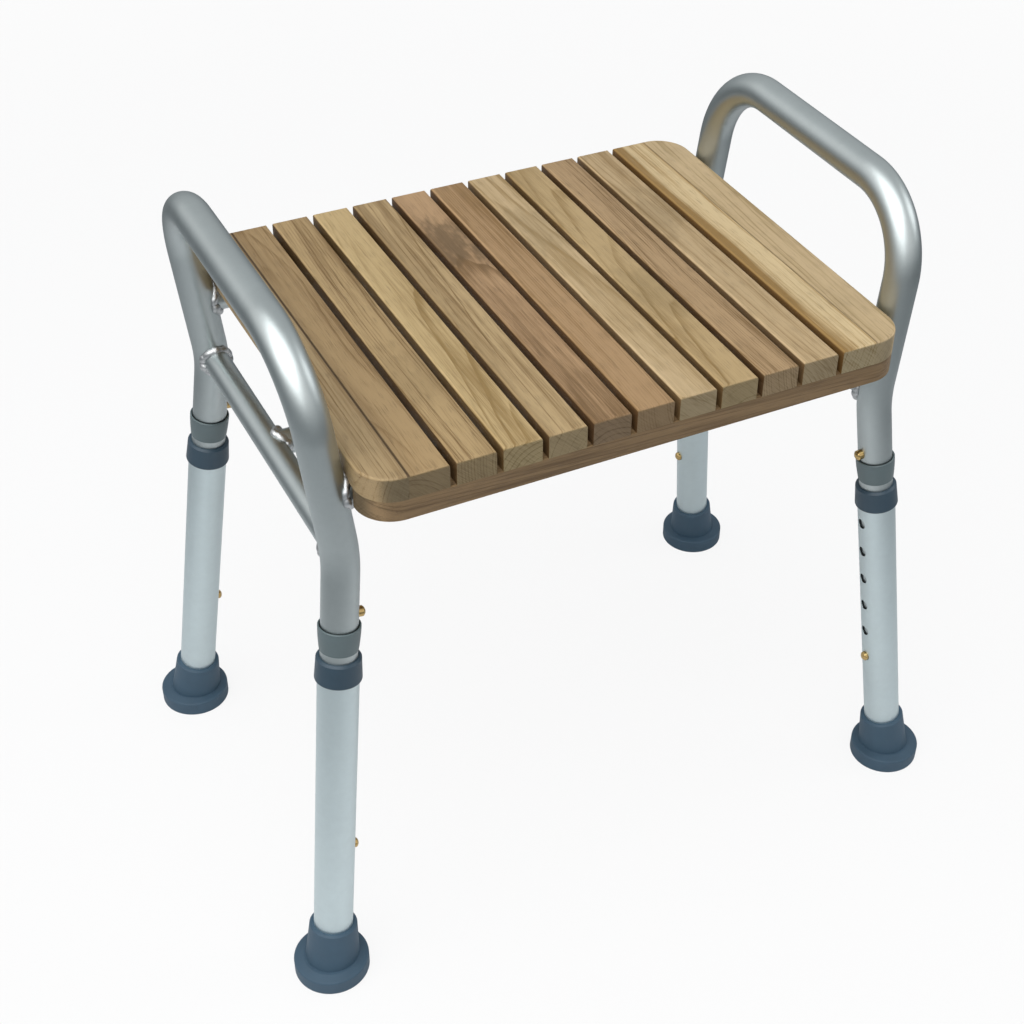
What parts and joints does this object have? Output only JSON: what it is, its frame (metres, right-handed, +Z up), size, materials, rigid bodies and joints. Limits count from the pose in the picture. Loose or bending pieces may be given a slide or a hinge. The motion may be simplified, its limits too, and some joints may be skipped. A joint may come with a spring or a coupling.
{
  "type": "adjustable shower stool",
  "caption": "Shower stool with a slatted teak seat, bent-tube armrests and splayed telescopic legs that lock with snap buttons and stand on rubber feet.",
  "frame": {"origin": "the middle of the stool's footprint, on the floor", "axes": "+Z up, +X to the right along the seat's long side, +Y to the rear, so the long front edge faces -Y"},
  "size_m": [0.5564, 0.3774, 0.5163],
  "materials": {
    "frame_aluminium": "satin anodised",
    "leg_aluminium": "pale matt anodised",
    "teak_01": "oiled, fine grain",
    "teak_02": "oiled, fine grain",
    "teak_03": "oiled, fine grain",
    "teak_04": "oiled, fine grain",
    "teak_05": "oiled, fine grain",
    "teak_06": "oiled, fine grain",
    "teak_07": "oiled, fine grain",
    "teak_08": "oiled, fine grain",
    "teak_09": "oiled, fine grain",
    "teak_10": "oiled, fine grain",
    "teak_11": "oiled, fine grain",
    "teak_12": "oiled, fine grain",
    "teak_13": "oiled, fine grain",
    "batten_wood": "oiled, darker and redder than the slats",
    "screw_steel": "plain",
    "collar_plastic": "slate blue, smooth",
    "ring_plastic": "mid grey, smooth",
    "foot_rubber": "slate blue, dull",
    "button_brass": "plain"
  },
  "bodies": {
    "frame": {"side_tube_left": "frame_aluminium", "side_tube_right": "frame_aluminium", "seat_tube_front": "frame_aluminium", "seat_tube_rear": "frame_aluminium", "middle_tube": "frame_aluminium", "side_bar_left": "frame_aluminium", "side_bar_right": "frame_aluminium", "slat_01": "teak_01", "slat_02": "teak_02", "slat_03": "teak_03", "slat_04": "teak_04", "slat_05": "teak_05", "slat_06": "teak_06", "slat_07": "teak_07", "slat_08": "teak_08", "slat_09": "teak_09", "slat_10": "teak_10", "slat_11": "teak_11", "slat_12": "teak_12", "slat_13": "teak_13", "batten_front": "batten_wood", "batten_rear": "batten_wood", "batten_screws": "screw_steel", "seat_screws": "screw_steel", "ring_fl": "ring_plastic", "ring_fr": "ring_plastic", "ring_rl": "ring_plastic", "ring_rr": "ring_plastic"},
    "leg_fl": {"lower_tube_fl": "leg_aluminium", "collar_fl": "collar_plastic", "foot_fl": "foot_rubber"},
    "height_button_fl": {"height_button_fl": "button_brass"},
    "stop_button_fl": {"stop_button_fl": "button_brass"},
    "leg_fr": {"lower_tube_fr": "leg_aluminium", "collar_fr": "collar_plastic", "foot_fr": "foot_rubber"},
    "height_button_fr": {"height_button_fr": "button_brass"},
    "stop_button_fr": {"stop_button_fr": "button_brass"},
    "leg_rl": {"lower_tube_rl": "leg_aluminium", "collar_rl": "collar_plastic", "foot_rl": "foot_rubber"},
    "height_button_rl": {"height_button_rl": "button_brass"},
    "stop_button_rl": {"stop_button_rl": "button_brass"},
    "leg_rr": {"lower_tube_rr": "leg_aluminium", "collar_rr": "collar_plastic", "foot_rr": "foot_rubber"},
    "height_button_rr": {"height_button_rr": "button_brass"},
    "stop_button_rr": {"stop_button_rr": "button_brass"}
  },
  "joints": [
    {"name": "leg_slide_fl", "type": "slide", "parent": "frame", "child": "leg_fl", "axis": [-0.1211, -0.0945, -0.9881], "range_m": [0, 0.135]},
    {"name": "leg_slide_fr", "type": "slide", "parent": "frame", "child": "leg_fr", "axis": [0.1211, -0.0945, -0.9881], "range_m": [0, 0.135]},
    {"name": "leg_slide_rl", "type": "slide", "parent": "frame", "child": "leg_rl", "axis": [-0.1211, 0.0945, -0.9881], "range_m": [0, 0.135]},
    {"name": "leg_slide_rr", "type": "slide", "parent": "frame", "child": "leg_rr", "axis": [0.1211, 0.0945, -0.9881], "range_m": [0, 0.135]},
    {"name": "height_press_fl", "type": "slide", "parent": "frame", "child": "height_button_fl", "axis": [-0.9926, 0.0115, 0.1206], "range_m": [0, 0.0048], "stiffness_N_per_m": 2000, "deforming": ["height_button_fl"]},
    {"name": "stop_press_fl", "type": "slide", "parent": "frame", "child": "stop_button_fl", "axis": [-0.9926, 0.0115, 0.1206], "range_m": [0, 0.005], "stiffness_N_per_m": 2000, "deforming": ["stop_button_fl"]},
    {"name": "height_press_fr", "type": "slide", "parent": "frame", "child": "height_button_fr", "axis": [0.9926, 0.0115, 0.1206], "range_m": [0, 0.0048], "stiffness_N_per_m": 2000, "deforming": ["height_button_fr"]},
    {"name": "stop_press_fr", "type": "slide", "parent": "frame", "child": "stop_button_fr", "axis": [0.9926, 0.0115, 0.1206], "range_m": [0, 0.005], "stiffness_N_per_m": 2000, "deforming": ["stop_button_fr"]},
    {"name": "height_press_rl", "type": "slide", "parent": "frame", "child": "height_button_rl", "axis": [-0.9926, -0.0115, 0.1206], "range_m": [0, 0.0048], "stiffness_N_per_m": 2000, "deforming": ["height_button_rl"]},
    {"name": "stop_press_rl", "type": "slide", "parent": "frame", "child": "stop_button_rl", "axis": [-0.9926, -0.0115, 0.1206], "range_m": [0, 0.005], "stiffness_N_per_m": 2000, "deforming": ["stop_button_rl"]},
    {"name": "height_press_rr", "type": "slide", "parent": "frame", "child": "height_button_rr", "axis": [0.9926, -0.0115, 0.1206], "range_m": [0, 0.0048], "stiffness_N_per_m": 2000, "deforming": ["height_button_rr"]},
    {"name": "stop_press_rr", "type": "slide", "parent": "frame", "child": "stop_button_rr", "axis": [0.9926, -0.0115, 0.1206], "range_m": [0, 0.005], "stiffness_N_per_m": 2000, "deforming": ["stop_button_rr"]}
  ]
}
